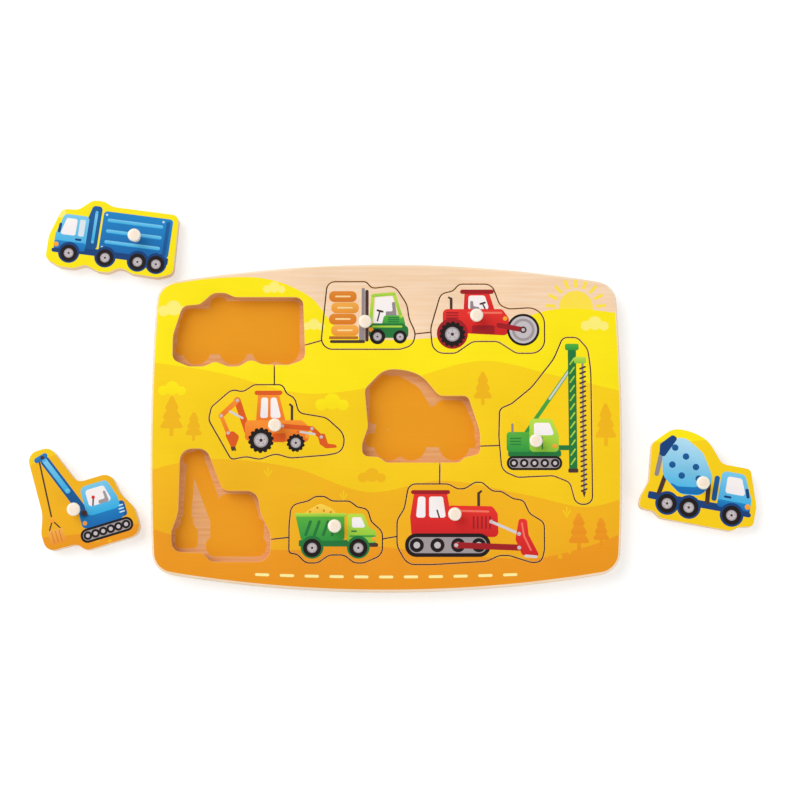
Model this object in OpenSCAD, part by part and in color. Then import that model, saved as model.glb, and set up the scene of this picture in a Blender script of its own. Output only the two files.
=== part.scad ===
// A wooden peg puzzle: a sheet of plywood is scroll-sawn into nine vehicles and the frame they
// leave, the frame is glued on a thin base sheet, and each vehicle has a turned peg to lift it by.
// Six vehicles sit in the board, and three lie beside it. Millimetres, +Z up, +Y to the back of the
// board, with the origin at the middle of the board's underside.

/* [Board] */
// Width of the board across the middle of its bowed short edges
board_w = 300; // [285:1:330]
// Depth of the board across the middle of its bowed long edges
board_d = 210; // [195:1:235]
// How far the front and back edges bow out past the corners
long_edge_bow = 13; // [8:0.5:18]
// How far the left and right edges bow out past the corners
short_edge_bow = 3; // [1:0.5:6]
// Radius of the four corners
corner_r = 14; // [9:0.5:18]
// Thickness of the sheet that the vehicles are sawn from
sheet_t = 8; // [6:0.5:12]
// Thickness of the base sheet under it
base_t = 3; // [2:0.5:6]
// Radius of the sanded round along the board's outer edge
rim_r = 1.4; // [0.6:0.1:2]

/* [Saw cut] */
// Width of the slot that the saw leaves
kerf = 0.8; // [0.5:0.1:1.4]
// Width of the sanded edge on the vehicles and round their cut-outs
edge_break = 0.4; // [0.3:0.1:1]

/* [Pegs] */
// Diameter of the peg's head
peg_head_d = 8.4; // [7:0.1:12]
// Diameter of the peg's neck
peg_neck_d = 6.2; // [4.8:0.1:6.8]
// Height of the peg above the vehicle
peg_h = 9; // [7:0.5:16]
// Radius of the round on the head's rim
peg_rim_r = 1.5; // [0.8:0.1:2]
// Diameter of the tenon that is glued in the vehicle
tenon_d = 4; // [3:0.1:4.6]
// Wood left under the tenon's hole
hole_floor_t = 2; // [1:0.1:3]
// Room for glue around and under the tenon
glue_gap = 0.1; // [0.05:0.05:0.3]

/* [Box truck] */
// Length of the box truck
box_truck_w = 84; // [76:1:92]
// Height of the box truck
box_truck_h = 47; // [42:1:52]
// How far the loose box truck reaches over the line of the board's left edge
box_truck_lap = 15.5; // [8:0.5:20]
// How far the loose box truck lies behind the board's back corners
box_truck_rise = 7.5; // [5:0.5:30]
// Turn of the loose box truck
box_truck_turn = -7.5; // [-15:0.5:10]

/* [Forklift] */
// Length of the forklift
forklift_w = 61; // [55:1:66]
// Height of the forklift
forklift_h = 44; // [39:1:48]

/* [Road roller] */
// Length of the road roller
road_roller_w = 73; // [66:1:80]
// Height of the road roller
road_roller_h = 45; // [40:1:50]

/* [Backhoe] */
// Length of the backhoe
backhoe_w = 87; // [78:1:95]
// Height of the backhoe
backhoe_h = 48; // [43:1:53]

/* [Mixer truck] */
// Length of the mixer truck
mixer_truck_w = 74; // [67:1:81]
// Height of the mixer truck
mixer_truck_h = 59; // [53:1:65]
// Space between the board's right edge and the loose mixer truck
mixer_truck_gap = 13.5; // [9:0.5:40]
// Turn of the loose mixer truck
mixer_truck_turn = -10.5; // [-20:0.5:20]

/* [Drill rig] */
// Length of the drill rig
drill_rig_w = 59; // [53:1:65]
// Height of the drill rig
drill_rig_h = 107; // [97:1:117]

/* [Crane truck] */
// Length of the crane truck
crane_truck_w = 62; // [56:1:68]
// Height of the crane truck
crane_truck_h = 71; // [64:1:78]
// Space between the board's left edge and the loose crane truck
crane_truck_gap = 13; // [9:0.5:40]
// Turn of the loose crane truck
crane_truck_turn = 17; // [-20:0.5:20]

/* [Dump truck] */
// Length of the dump truck
dump_truck_w = 59; // [53:1:65]
// Height of the dump truck
dump_truck_h = 42; // [38:1:46]

/* [Bulldozer] */
// Length of the bulldozer
bulldozer_w = 93; // [84:1:101]
// Height of the bulldozer
bulldozer_h = 52; // [47:1:57]

/* [Hidden] */

$fn = 64;
// How far a cut runs past the face that it opens
overrun = 0.3;
// How far the straight steps of a rounded corner may stray from its arc
arc_sag = 0.06;
// Twice the area of the smallest triangle that a face is filled with
least_ear = 0.0001;
// Straight steps along a bowed long edge, and along a bowed short edge
long_edge_steps = 12;
short_edge_steps = 6;
// Steps round the quarter of the outer edge's round
rim_steps = 3;
// Most of a straight stretch that one rounded corner may take up
corner_reach_share = 0.48;

wood_colour = "burlywood";
peg_colour = "blanchedalmond";
print_yellow = "gold";
print_blue = "dodgerblue";
print_green = "limegreen";
print_red = "crimson";
print_orange = "darkorange";

// The outlines. Each corner is [along, up, round]: along and up are shares of the vehicle's length
// and height from its lower left, and round is the corner's radius as a share of the height.
box_truck_outline_shares = [
    [0.00, 0.09, 0.10], [0.12, 0.00, 0.12], [0.23, 0.00, 0.12], [0.32, 0.07, 0.10],
    [0.42, 0.00, 0.12], [0.50, 0.00, 0.12], [0.59, 0.10, 0.14], [0.68, 0.03, 0.12],
    [0.88, 0.02, 0.14], [1.00, 0.10, 0.10], [0.98, 0.94, 0.10], [0.46, 0.94, 0.14],
    [0.39, 1.00, 0.14], [0.30, 1.00, 0.14], [0.20, 0.84, 0.14], [0.07, 0.82, 0.10],
    [0.00, 0.42, 0.30]
];
forklift_outline_shares = [
    [0.00, 0.00, 0.16], [0.84, 0.00, 0.20], [0.97, 0.06, 0.16], [1.00, 0.24, 0.20],
    [0.93, 0.45, 0.30], [0.91, 0.66, 0.30], [0.78, 0.94, 0.16], [0.54, 0.90, 0.10],
    [0.48, 1.00, 0.08], [0.07, 1.00, 0.12]
];
road_roller_outline_shares = [
    [0.02, 0.00, 0.34], [0.22, 0.00, 0.14], [0.37, 0.17, 0.16], [0.59, 0.17, 0.16],
    [0.75, 0.00, 0.14], [1.00, 0.00, 0.32], [1.00, 0.67, 0.32], [0.69, 0.64, 0.14],
    [0.61, 0.69, 0.12], [0.54, 1.00, 0.14], [0.25, 1.00, 0.10], [0.20, 0.90, 0.12],
    [0.09, 0.86, 0.12], [0.00, 0.36, 0.30]
];
backhoe_outline_shares = [
    [0.17, 0.00, 0.06], [0.28, 0.04, 0.20], [0.38, 0.00, 0.16], [0.49, 0.08, 0.20],
    [0.60, 0.02, 0.20], [0.87, 0.06, 0.30], [0.98, 0.10, 0.14], [1.00, 0.33, 0.20],
    [0.86, 0.56, 0.20], [0.66, 0.62, 0.10], [0.63, 0.82, 0.12], [0.57, 0.88, 0.10],
    [0.54, 1.00, 0.08], [0.33, 1.00, 0.10], [0.25, 0.90, 0.12], [0.17, 0.94, 0.14],
    [0.02, 0.70, 0.10], [0.00, 0.53, 0.12]
];
mixer_truck_outline_shares = [
    [0.00, 0.07, 0.06], [0.14, 0.06, 0.08], [0.20, 0.00, 0.08], [0.82, 0.00, 0.08],
    [0.88, 0.06, 0.10], [1.00, 0.09, 0.06], [1.00, 0.32, 0.20], [0.90, 0.71, 0.06],
    [0.65, 0.71, 0.10], [0.50, 0.94, 0.32], [0.34, 1.00, 0.60], [0.18, 1.00, 0.22],
    [0.02, 0.79, 0.08], [0.05, 0.38, 0.16], [0.00, 0.20, 0.14]
];
drill_rig_outline_shares = [
    [0.03, 0.20, 0.07], [0.20, 0.16, 0.05], [0.58, 0.17, 0.06], [0.76, 0.13, 0.05],
    [0.82, 0.00, 0.05], [1.00, 0.00, 0.08], [1.00, 0.80, 0.60], [0.97, 0.93, 0.08],
    [0.86, 1.00, 0.05], [0.70, 1.00, 0.04], [0.60, 0.87, 0.20], [0.36, 0.70, 0.20],
    [0.14, 0.60, 0.08], [0.01, 0.57, 0.04], [0.00, 0.40, 0.40]
];
crane_truck_outline_shares = [
    [0.01, 0.09, 0.13], [0.33, 0.08, 0.08], [0.40, 0.00, 0.08], [1.00, 0.00, 0.11],
    [1.00, 0.25, 0.16], [0.90, 0.41, 0.20], [0.86, 0.62, 0.10], [0.51, 0.62, 0.08],
    [0.34, 1.00, 0.10], [0.08, 1.00, 0.10], [0.07, 0.43, 0.30], [0.00, 0.26, 0.14]
];
dump_truck_outline_shares = [
    [0.00, 0.15, 0.05], [0.09, 0.13, 0.10], [0.18, 0.00, 0.12], [0.31, 0.00, 0.14],
    [0.43, 0.12, 0.16], [0.59, 0.12, 0.16], [0.70, 0.00, 0.12], [0.80, 0.00, 0.10],
    [1.00, 0.12, 0.16], [1.00, 0.47, 0.14], [0.88, 0.62, 0.12], [0.84, 0.81, 0.10],
    [0.73, 0.84, 0.12], [0.65, 0.93, 0.12], [0.46, 0.93, 0.12], [0.38, 1.00, 0.10],
    [0.28, 1.00, 0.12], [0.20, 0.93, 0.14], [0.02, 0.87, 0.14], [0.00, 0.56, 0.50]
];
bulldozer_outline_shares = [
    [0.07, 0.00, 0.16], [0.24, 0.00, 0.30], [0.61, 0.04, 0.20], [0.69, 0.11, 0.16],
    [0.76, 0.11, 0.16], [0.92, 0.02, 0.14], [0.98, 0.04, 0.10], [1.00, 0.18, 0.16],
    [1.00, 0.51, 0.10], [0.90, 0.62, 0.12], [0.86, 0.78, 0.08], [0.79, 0.80, 0.12],
    [0.71, 0.89, 0.10], [0.65, 0.89, 0.10], [0.58, 1.00, 0.08], [0.53, 1.00, 0.08],
    [0.46, 0.92, 0.12], [0.41, 0.92, 0.10], [0.35, 0.98, 0.12], [0.08, 0.98, 0.10],
    [0.05, 0.68, 0.16], [0.00, 0.54, 0.16], [0.00, 0.22, 0.20]
];

// How far back from the board's middle the middle of each cut-out lies, as a share of its depth
box_truck_back_share = 0.297;
forklift_back_share = 0.341;
road_roller_back_share = 0.331;
backhoe_back_share = 0.013;
mixer_truck_back_share = 0.032;
drill_rig_back_share = 0.018;
crane_truck_back_share = -0.239;
dump_truck_back_share = -0.313;
bulldozer_back_share = -0.294;

// The cut-outs stand in three rows. Each takes its share of the width that its row's vehicles leave
// free as the gap to its left, and what is then left lies to the right of the last. The middle row
// has the whole width, and the other two end at the drill rig's mast.
back_gap_shares = [0.307, 0.223, 0.212];
middle_gap_shares = [0.461, 0.141, 0.155];
front_gap_shares = [0.299, 0.247, 0.188];
// How far along the drill rig its mast begins
mast_share = 0.70;

// Where each peg stands, as shares of its vehicle's length and height from its lower left
box_truck_peg_shares = [0.67, 0.545];
forklift_peg_shares = [0.47, 0.38];
road_roller_peg_shares = [0.40, 0.52];
backhoe_peg_shares = [0.49, 0.44];
mixer_truck_peg_shares = [0.50, 0.45];
drill_rig_peg_shares = [0.39, 0.37];
crane_truck_peg_shares = [0.41, 0.38];
dump_truck_peg_shares = [0.49, 0.54];
bulldozer_peg_shares = [0.39, 0.60];

// How far the two loose vehicles beside the board lie along its depth, from its middle
mixer_truck_along_share = -0.16;
crane_truck_along_share = -0.207;

function total(list) = list * [for (item = list) 1];

// How far right of the board's middle each cut-out of a row lies, from the lengths of its vehicles,
// their gap shares and the width that the row has, which starts at the board's left edge
function row_places(lengths, gap_shares, room) = [
    for (i = [0 : len(lengths) - 1])
        let (
            free = room - total(lengths),
            steps = [for (j = [0 : i]) gap_shares[j] * free + lengths[j]]
        )
        total(steps) - lengths[i] / 2 - board_w / 2
];
middle_row = row_places([backhoe_w, mixer_truck_w, drill_rig_w], middle_gap_shares, board_w);
mast_room = board_w / 2 + middle_row[2] + (mast_share - 0.5) * drill_rig_w;
back_row = row_places([box_truck_w, forklift_w, road_roller_w], back_gap_shares, mast_room);
front_row = row_places([crane_truck_w, dump_truck_w, bulldozer_w], front_gap_shares, mast_room);

// Each vehicle is [size, place of its cut-out, outline shares, peg shares]
BOX_TRUCK = [
    [box_truck_w, box_truck_h],
    [back_row[0], box_truck_back_share * board_d],
    box_truck_outline_shares, box_truck_peg_shares
];
FORKLIFT = [
    [forklift_w, forklift_h],
    [back_row[1], forklift_back_share * board_d],
    forklift_outline_shares, forklift_peg_shares
];
ROAD_ROLLER = [
    [road_roller_w, road_roller_h],
    [back_row[2], road_roller_back_share * board_d],
    road_roller_outline_shares, road_roller_peg_shares
];
BACKHOE = [
    [backhoe_w, backhoe_h],
    [middle_row[0], backhoe_back_share * board_d],
    backhoe_outline_shares, backhoe_peg_shares
];
MIXER_TRUCK = [
    [mixer_truck_w, mixer_truck_h],
    [middle_row[1], mixer_truck_back_share * board_d],
    mixer_truck_outline_shares, mixer_truck_peg_shares
];
DRILL_RIG = [
    [drill_rig_w, drill_rig_h],
    [middle_row[2], drill_rig_back_share * board_d],
    drill_rig_outline_shares, drill_rig_peg_shares
];
CRANE_TRUCK = [
    [crane_truck_w, crane_truck_h],
    [front_row[0], crane_truck_back_share * board_d],
    crane_truck_outline_shares, crane_truck_peg_shares
];
DUMP_TRUCK = [
    [dump_truck_w, dump_truck_h],
    [front_row[1], dump_truck_back_share * board_d],
    dump_truck_outline_shares, dump_truck_peg_shares
];
BULLDOZER = [
    [bulldozer_w, bulldozer_h],
    [front_row[2], bulldozer_back_share * board_d],
    bulldozer_outline_shares, bulldozer_peg_shares
];
VEHICLES = [
    BOX_TRUCK, FORKLIFT, ROAD_ROLLER, BACKHOE, MIXER_TRUCK,
    DRILL_RIG, CRANE_TRUCK, DUMP_TRUCK, BULLDOZER
];

// The short slots by which the saw went from one cut-out to the next. Each runs from a point in one
// vehicle's outline to a point in another's, as shares of those vehicles' lengths and heights.
saw_path_shares = [
    [BOX_TRUCK, [0.97, 0.27], FORKLIFT, [0.04, 0.14]],
    [FORKLIFT, [0.95, 0.22], ROAD_ROLLER, [0.04, 0.31]],
    [BOX_TRUCK, [0.77, 0.09], BACKHOE, [0.48, 0.91]],
    [MIXER_TRUCK, [0.97, 0.17], DRILL_RIG, [0.04, 0.35]],
    [MIXER_TRUCK, [0.66, 0.05], BULLDOZER, [0.29, 0.92]],
    [CRANE_TRUCK, [0.97, 0.19], DUMP_TRUCK, [0.04, 0.39]],
    [DUMP_TRUCK, [0.96, 0.35], BULLDOZER, [0.03, 0.35]]
];

hole_d = tenon_d + 2 * glue_gap;
hole_depth = sheet_t - hole_floor_t;
tenon_l = hole_depth - glue_gap;

function unit(v) = v / norm(v);
function turned_right(v) = [v[1], -v[0]];
function vehicle_size(v) = v[0];

// A point of a vehicle, from shares of its size, measured from its middle
function in_vehicle(v, shares) = [
    for (i = [0, 1]) (shares[i] - 0.5) * vehicle_size(v)[i]
];

// The middle of a vehicle's cut-out on the board
function place(v) = v[1];

// One corner of an outline as the points of its arc; a corner without a radius stays one point
function corner_arc(before, corner, after, radius) =
    let (
        back = unit(before - corner),
        on = unit(after - corner),
        half = acos(back * on) / 2,
        reach = corner_reach_share * min(norm(before - corner), norm(after - corner)),
        run = min(radius / tan(half), reach),
        r = run * tan(half),
        middle = corner + unit(back + on) * r / sin(half),
        from = corner + back * run - middle,
        to = corner + on * run - middle,
        turn = atan2(from[0] * to[1] - from[1] * to[0], from * to),
        steps = max(1, ceil(abs(turn) / (2 * acos(max(0, 1 - arc_sag / r))))),
        start = atan2(from[1], from[0])
    )
    radius == 0 ? [corner] : [
        for (i = [0 : steps])
            let (a = start + turn * i / steps)
            middle + r * [cos(a), sin(a)]
    ];

// A closed outline with its corners rounded, from [x, y, radius] corners
function rounded(corners) = [
    for (i = [0 : len(corners) - 1])
        let (
            before = corners[(i + len(corners) - 1) % len(corners)],
            corner = corners[i],
            after = corners[(i + 1) % len(corners)]
        )
        each corner_arc(
            [before[0], before[1]], [corner[0], corner[1]], [after[0], after[1]], corner[2]
        )
];

// A closed counter-clockwise outline, moved outward by a distance
function moved_out(path, distance) = [
    for (i = [0 : len(path) - 1])
        let (
            before = path[(i + len(path) - 1) % len(path)],
            after = path[(i + 1) % len(path)],
            side_in = turned_right(unit(path[i] - before)),
            side_out = turned_right(unit(after - path[i]))
        )
        path[i] + distance * (side_in + side_out) / (1 + side_in * side_out)
];

// The middle of the saw cut round a vehicle, about the vehicle's middle
function saw_line(v) = rounded([
    for (c = v[2])
        let (p = in_vehicle(v, c))
        [p[0], p[1], c[2] * vehicle_size(v)[1]]
]);

// Twice the area of the triangle of three points, above zero if they run counter-clockwise
function turn_area(a, b, c) = (b[0] - a[0]) * (c[1] - a[1]) - (b[1] - a[1]) * (c[0] - a[0]);
function holds(a, b, c, p) =
    turn_area(a, b, p) >= 0 && turn_area(b, c, p) >= 0 && turn_area(c, a, p) >= 0;

// The triangle at one corner of what is left of an outline, as three places on its path
function ear(left, i) = [for (step = [-1, 0, 1]) left[(i + step + len(left)) % len(left)]];

// Whether a triangle lies inside the outline, with no other corner of it in the way
function is_free(path, left, t) =
    turn_area(path[t[0]], path[t[1]], path[t[2]]) > least_ear
    && [
        for (k = left)
            if (k != t[0] && k != t[1] && k != t[2])
                if (holds(path[t[0]], path[t[1]], path[t[2]], path[k])) k
    ] == [];
function free_ear(path, left, i = 0) =
    is_free(path, left, ear(left, i)) ? i : free_ear(path, left, i + 1);

// The triangles that fill a closed counter-clockwise outline, cut off it one ear at a time
function cut_ears(path, left, done) =
    let (i = free_ear(path, left))
    len(left) == 3 ? [each done, left] : cut_ears(
        path,
        [for (j = [0 : len(left) - 1]) if (j != i) left[j]],
        [each done, ear(left, i)]
    );
function triangles(path) = cut_ears(path, [for (i = [0 : len(path) - 1]) i], []);

// A bowed edge from one corner to the next, with the first corner rounded and the last left out
function bowed_edge(from, to, bow, steps) =
    let (
        chord = norm(to - from),
        bow_r = (pow(chord / 2, 2) + pow(bow, 2)) / (2 * bow),
        out = turned_right(unit(to - from)),
        middle = (from + to) / 2 + out * (bow - bow_r),
        sweep = 2 * asin(chord / 2 / bow_r),
        start = atan2(from[1] - middle[1], from[0] - middle[0])
    )
    [
        for (i = [0 : steps - 1])
            let (a = start + sweep * i / steps)
            [middle[0] + bow_r * cos(a), middle[1] + bow_r * sin(a), i == 0 ? corner_r : 0]
    ];

corner_x = board_w / 2 - short_edge_bow;
corner_y = board_d / 2 - long_edge_bow;
front_left = [-corner_x, -corner_y];
front_right = [corner_x, -corner_y];
back_right = [corner_x, corner_y];
back_left = [-corner_x, corner_y];
board_path = rounded([
    each bowed_edge(front_left, front_right, long_edge_bow, long_edge_steps),
    each bowed_edge(front_right, back_right, short_edge_bow, short_edge_steps),
    each bowed_edge(back_right, back_left, long_edge_bow, long_edge_steps),
    each bowed_edge(back_left, front_left, short_edge_bow, short_edge_steps)
]);

// The sections of the plates' edges, from the bottom up, as [outward from the path, height]: the base
// sheet, the board's rim, and a vehicle and its cut-out on either side of the saw line
base_section = [[-edge_break, 0], [0, edge_break], [0, base_t]];
rim_section = [
    [0, 0],
    for (i = [0 : rim_steps])
        let (a = 90 * i / rim_steps)
        [rim_r * (cos(a) - 1), sheet_t + rim_r * (sin(a) - 1)]
];
vehicle_section = [
    [-kerf / 2, 0],
    [-kerf / 2, sheet_t - edge_break],
    [-kerf / 2 - edge_break, sheet_t]
];
cut_out_section = [
    [kerf / 2, -overrun],
    [kerf / 2, sheet_t - edge_break],
    [kerf / 2 + edge_break + overrun, sheet_t + overrun]
];

// A plate on a path, whose edge follows a section
module edged_plate(path, section) {
    count = len(path);
    last = len(section) - 1;
    loops = [for (s = section) moved_out(path, s[0])];
    polyhedron(
        points = [
            for (j = [0 : last])
                for (p = loops[j])
                    [p[0], p[1], section[j][1]]
        ],
        faces = [
            for (t = triangles(loops[0])) t,
            for (t = triangles(loops[last])) [for (i = [2, 1, 0]) last * count + t[i]],
            for (j = [0 : last - 1])
                for (i = [0 : count - 1])
                    let (i2 = (i + 1) % count, low = j * count, high = low + count)
                    [low + i, high + i, high + i2, low + i2]
        ]
    );
}

// A vehicle as it is sawn and drilled, about its middle, standing on its underside
module sawn_vehicle(v) {
    difference() {
        edged_plate(saw_line(v), vehicle_section);
        translate([each in_vehicle(v, v[3]), hole_floor_t])
            cylinder(d = hole_d, h = hole_depth + overrun);
    }
}

// The peg of a vehicle: a rounded head on a neck, with a tenon in the vehicle's hole
module turned_peg(v) {
    translate([each in_vehicle(v, v[3]), sheet_t]) {
        rotate_extrude() {
            square([peg_neck_d / 2, peg_h - peg_rim_r]);
            translate([0, peg_h - 2 * peg_rim_r])
                square([peg_head_d / 2 - peg_rim_r, 2 * peg_rim_r]);
            translate([peg_head_d / 2 - peg_rim_r, peg_h - peg_rim_r]) circle(r = peg_rim_r);
        }
        translate([0, 0, -tenon_l]) cylinder(d = tenon_d, h = tenon_l + peg_rim_r);
    }
}

// Moves a vehicle from its own middle into its cut-out on the base sheet
module in_board(v) {
    translate([each place(v), base_t]) children();
}

// Moves a vehicle from its own middle onto the table beside the board
module on_table(at, turn) {
    translate([at[0], at[1], 0]) rotate(turn) children();
}

module box_truck_on_table() {
    at = [
        -board_w / 2 + box_truck_lap - box_truck_w / 2,
        corner_y + box_truck_rise + box_truck_h / 2
    ];
    on_table(at, box_truck_turn) children();
}

module mixer_truck_on_table() {
    at = [
        board_w / 2 + mixer_truck_gap + mixer_truck_w / 2,
        mixer_truck_along_share * board_d
    ];
    on_table(at, mixer_truck_turn) children();
}

module crane_truck_on_table() {
    at = [
        -board_w / 2 - crane_truck_gap - crane_truck_w / 2,
        crane_truck_along_share * board_d
    ];
    on_table(at, crane_truck_turn) children();
}

// The slot that the saw left between two cut-outs
module saw_slot(link) {
    from = place(link[0]) + in_vehicle(link[0], link[1]);
    to = place(link[2]) + in_vehicle(link[2], link[3]);
    run = to - from;
    translate([from[0], from[1], -overrun]) rotate(atan2(run[1], run[0]))
        translate([0, -kerf / 2]) cube([norm(run), kerf, sheet_t + 2 * overrun]);
}

module base_plate() { color(wood_colour) edged_plate(board_path, base_section); }

module top_plate() {
    color(print_yellow) translate([0, 0, base_t]) difference() {
        edged_plate(board_path, rim_section);
        for (v = VEHICLES) translate(place(v)) edged_plate(saw_line(v), cut_out_section);
        for (link = saw_path_shares) saw_slot(link);
    }
}

module box_truck() { color(print_blue) box_truck_on_table() sawn_vehicle(BOX_TRUCK); }
module box_truck_peg() { color(peg_colour) box_truck_on_table() turned_peg(BOX_TRUCK); }
module forklift() { color(print_green) in_board(FORKLIFT) sawn_vehicle(FORKLIFT); }
module forklift_peg() { color(peg_colour) in_board(FORKLIFT) turned_peg(FORKLIFT); }
module road_roller() { color(print_red) in_board(ROAD_ROLLER) sawn_vehicle(ROAD_ROLLER); }
module road_roller_peg() { color(peg_colour) in_board(ROAD_ROLLER) turned_peg(ROAD_ROLLER); }
module backhoe() { color(print_orange) in_board(BACKHOE) sawn_vehicle(BACKHOE); }
module backhoe_peg() { color(peg_colour) in_board(BACKHOE) turned_peg(BACKHOE); }
module mixer_truck() { color(print_blue) mixer_truck_on_table() sawn_vehicle(MIXER_TRUCK); }
module mixer_truck_peg() { color(peg_colour) mixer_truck_on_table() turned_peg(MIXER_TRUCK); }
module drill_rig() { color(print_green) in_board(DRILL_RIG) sawn_vehicle(DRILL_RIG); }
module drill_rig_peg() { color(peg_colour) in_board(DRILL_RIG) turned_peg(DRILL_RIG); }
module crane_truck() { color(print_blue) crane_truck_on_table() sawn_vehicle(CRANE_TRUCK); }
module crane_truck_peg() { color(peg_colour) crane_truck_on_table() turned_peg(CRANE_TRUCK); }
module dump_truck() { color(print_green) in_board(DUMP_TRUCK) sawn_vehicle(DUMP_TRUCK); }
module dump_truck_peg() { color(peg_colour) in_board(DUMP_TRUCK) turned_peg(DUMP_TRUCK); }
module bulldozer() { color(print_red) in_board(BULLDOZER) sawn_vehicle(BULLDOZER); }
module bulldozer_peg() { color(peg_colour) in_board(BULLDOZER) turned_peg(BULLDOZER); }

base_plate();
top_plate();
box_truck();
box_truck_peg();
forklift();
forklift_peg();
road_roller();
road_roller_peg();
backhoe();
backhoe_peg();
mixer_truck();
mixer_truck_peg();
drill_rig();
drill_rig_peg();
crane_truck();
crane_truck_peg();
dump_truck();
dump_truck_peg();
bulldozer();
bulldozer_peg();
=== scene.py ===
"""Looks of a wooden peg puzzle: nine printed vehicles, sawn out of the printed sheet of the board, on pegs.

Every piece is a mesh of its own over its CAD node. The print is drawn as shapes of ink that are cut into
the top face of the sheet, so it runs on from the board over the saw cuts into the vehicles.
"""
import math

import bpy
from mathutils import Matrix, Vector
from mathutils.geometry import delaunay_2d_cdt


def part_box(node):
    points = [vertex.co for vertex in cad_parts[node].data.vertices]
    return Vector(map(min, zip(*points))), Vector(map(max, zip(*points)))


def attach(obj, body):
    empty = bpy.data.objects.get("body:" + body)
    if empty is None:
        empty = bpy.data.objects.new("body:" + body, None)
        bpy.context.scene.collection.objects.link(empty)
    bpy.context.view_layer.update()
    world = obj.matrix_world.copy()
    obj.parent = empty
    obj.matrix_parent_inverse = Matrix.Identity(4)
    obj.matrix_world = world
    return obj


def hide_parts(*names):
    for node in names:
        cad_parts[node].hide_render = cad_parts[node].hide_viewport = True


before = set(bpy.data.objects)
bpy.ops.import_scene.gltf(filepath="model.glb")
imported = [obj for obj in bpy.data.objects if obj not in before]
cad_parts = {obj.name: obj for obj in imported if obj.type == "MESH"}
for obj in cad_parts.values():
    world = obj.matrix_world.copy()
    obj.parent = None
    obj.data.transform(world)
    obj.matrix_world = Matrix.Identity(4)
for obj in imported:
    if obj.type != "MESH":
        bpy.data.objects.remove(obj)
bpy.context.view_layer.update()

# Sizes in metres: the board and its sheet, rounded edges, the shade on the recess floors, and the pegs
BOARD_LOW, BOARD_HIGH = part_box("base_plate")
BOARD_W = BOARD_HIGH.x - BOARD_LOW.x
BOARD_D = BOARD_HIGH.y - BOARD_LOW.y
SHEET_LOW = BOARD_HIGH.z
SHEET_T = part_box("top_plate")[1].z - SHEET_LOW
SHEET_HIGH = SHEET_LOW + SHEET_T
RIM_R = 0.0014
SAWN_EDGE_R = 0.0003
GLUE_LINE_R = 0.00015
SHADE_SPREAD = 0.0022
SHADE_SHIFT = Vector((-0.0009, 0.0010))
HOLE_R = 0.0021
HOLE_AREA = 4 * HOLE_R ** 2
HOLE_FLOOR_T = 0.002
TENON_R = 0.002
PEG_NECK_R = 0.0031
PEG_RIM_R = 0.0015
PEG_CROWN = 0.00015

# The vehicles that lie on the table: how far each is turned there, in degrees, and the middle of its
# cut-out, as shares of the board's width and depth from its middle
LOOSE = {
    "box_truck": (-7.5, -0.314, 0.297), "mixer_truck": (-10.5, 0.074, 0.032),
    "crane_truck": (17.0, -0.348, -0.239),
}

# How finely arcs, rounds and lathe work are cut
ARC_STEP = math.radians(10)
DISC_SIDES = 48
PEG_SIDES = 48
ROUND_STEPS = 4
RIM_STEPS = 6
INKED_STEPS = 2
SOFTEN_ROUNDS = 2
CUT_SHARE = 0.25
SHARP_TURN = math.radians(40)
REACH_SHARE = 0.48
SHORTEST_SIDE = 0.00002
LEVEL_SLACK = 0.000001
CROWN_SHARES = (0.75, 0.45, 0.2)  # rings on a peg's top, as shares of its flat

# In millimetres: how close points lie that become one, and the digits that tell two places apart
MM = 0.001
MERGE_DISTANCE = 0.004
LEAST_DISTANCE = 0.000001
PLACE_DIGITS = 4

# Colours of the inks. An ink with two colours fades from the first, at the foot of a shape, to the second.
INKS = {
    "yellow": ("#FCE00C", "#FFEA0C"), "gold": ("#F4C014", "#FBD412"), "amber": ("#EFA618", "#F5B916"),
    "orange": ("#EB9118", "#EF9C1A"), "sun": ("#FFE24A",), "pale": ("#FFF0A0",),
    "lemon": ("#FFF07A",), "honey": ("#F2B714",),
    "navy": ("#14417B",), "blue": ("#1269B0", "#1F86C8"), "denim": ("#12558F", "#175F9E"),
    "sky": ("#2FADE2", "#7CCBEE"), "cyan": ("#25B2E4", "#B4DFF2"), "ice": ("#CBE8F5",),
    "green": ("#2F9540", "#57B23F"), "pine": ("#23783B",), "lime": ("#8CC63C", "#BFE04A"),
    "red": ("#D01F24", "#E8332B"), "wine": ("#A11B22",), "rose": ("#F4735F",),
    "tangerine": ("#EF7420", "#FA9430"), "rust": ("#DF5A1C",),
    "tyre": ("#1E1615",), "hub": ("#A1979A",), "zinc": ("#C7BFC2",),
    "steel": ("#94898C",), "iron": ("#4A332E",), "silver": ("#D6CFD1",),
    "glass": ("#F4EFF2", "#FCF4F0"), "glass_shade": ("#DCE7EE",), "lamp": ("#F79A1F", "#FBB03A"),
    "plank": ("#B76B2A",), "sack": ("#EC9330", "#F6B04C"), "clay": ("#D9781F", "#E48A2E"),
    "cream": ("#FBD99A",), "sand": ("#F7BE3A", "#FFD950"), "shade": ("#EE9D18",),
}
INK_ATTRIBUTE = "ink"
SHEET_ATTRIBUTE = "sheet"
BAKE_MAP = "OFBake"


def linear(hex_colour):
    """A colour written in hex, as linear red, green and blue."""
    shares = [int(hex_colour[i:i + 2], 16) / 255 for i in (1, 3, 5)]
    return Vector([s / 12.92 if s <= 0.04045 else ((s + 0.055) / 1.055) ** 2.4 for s in shares])


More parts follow.
